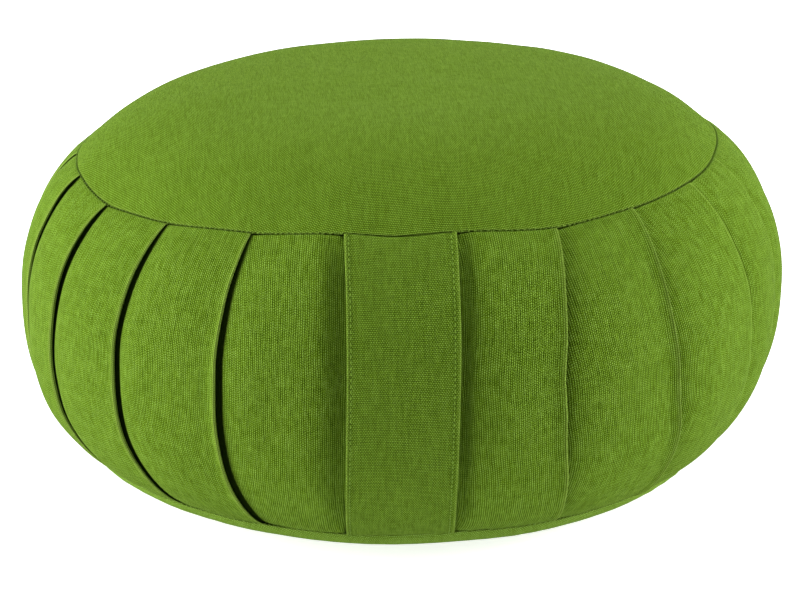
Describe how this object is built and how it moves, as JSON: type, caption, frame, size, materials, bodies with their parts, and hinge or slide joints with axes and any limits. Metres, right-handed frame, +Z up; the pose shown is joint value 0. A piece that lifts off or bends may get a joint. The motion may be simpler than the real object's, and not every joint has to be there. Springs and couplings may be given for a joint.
{
  "type": "zafu meditation cushion",
  "caption": "Round, firmly filled floor cushion with a crowned top, a knife-pleated side band sewn between two round panels, and a flat carry strap down one side.",
  "frame": {"origin": "middle of the flat patch that the cushion rests on, on the floor", "axes": "+Z up through the middle of the crown; -Y towards the side that carries the strap; +X to the right as seen from that side"},
  "size_m": [0.3596, 0.3607, 0.1808],
  "materials": {
    "band_cloth": "matt ribbed cotton weave, leaf green, ribs running from seam to seam",
    "panel_cloth": "the same matt cotton weave, leaf green, ribs running front to back",
    "strap_cloth": "matt plain cotton weave, leaf green, folded double and topstitched along both edges"
  },
  "bodies": {
    "root": {"pleated_band": "band_cloth", "top_panel": "panel_cloth", "bottom_panel": "panel_cloth", "handle_strap": "strap_cloth"}
  },
  "joints": []
}
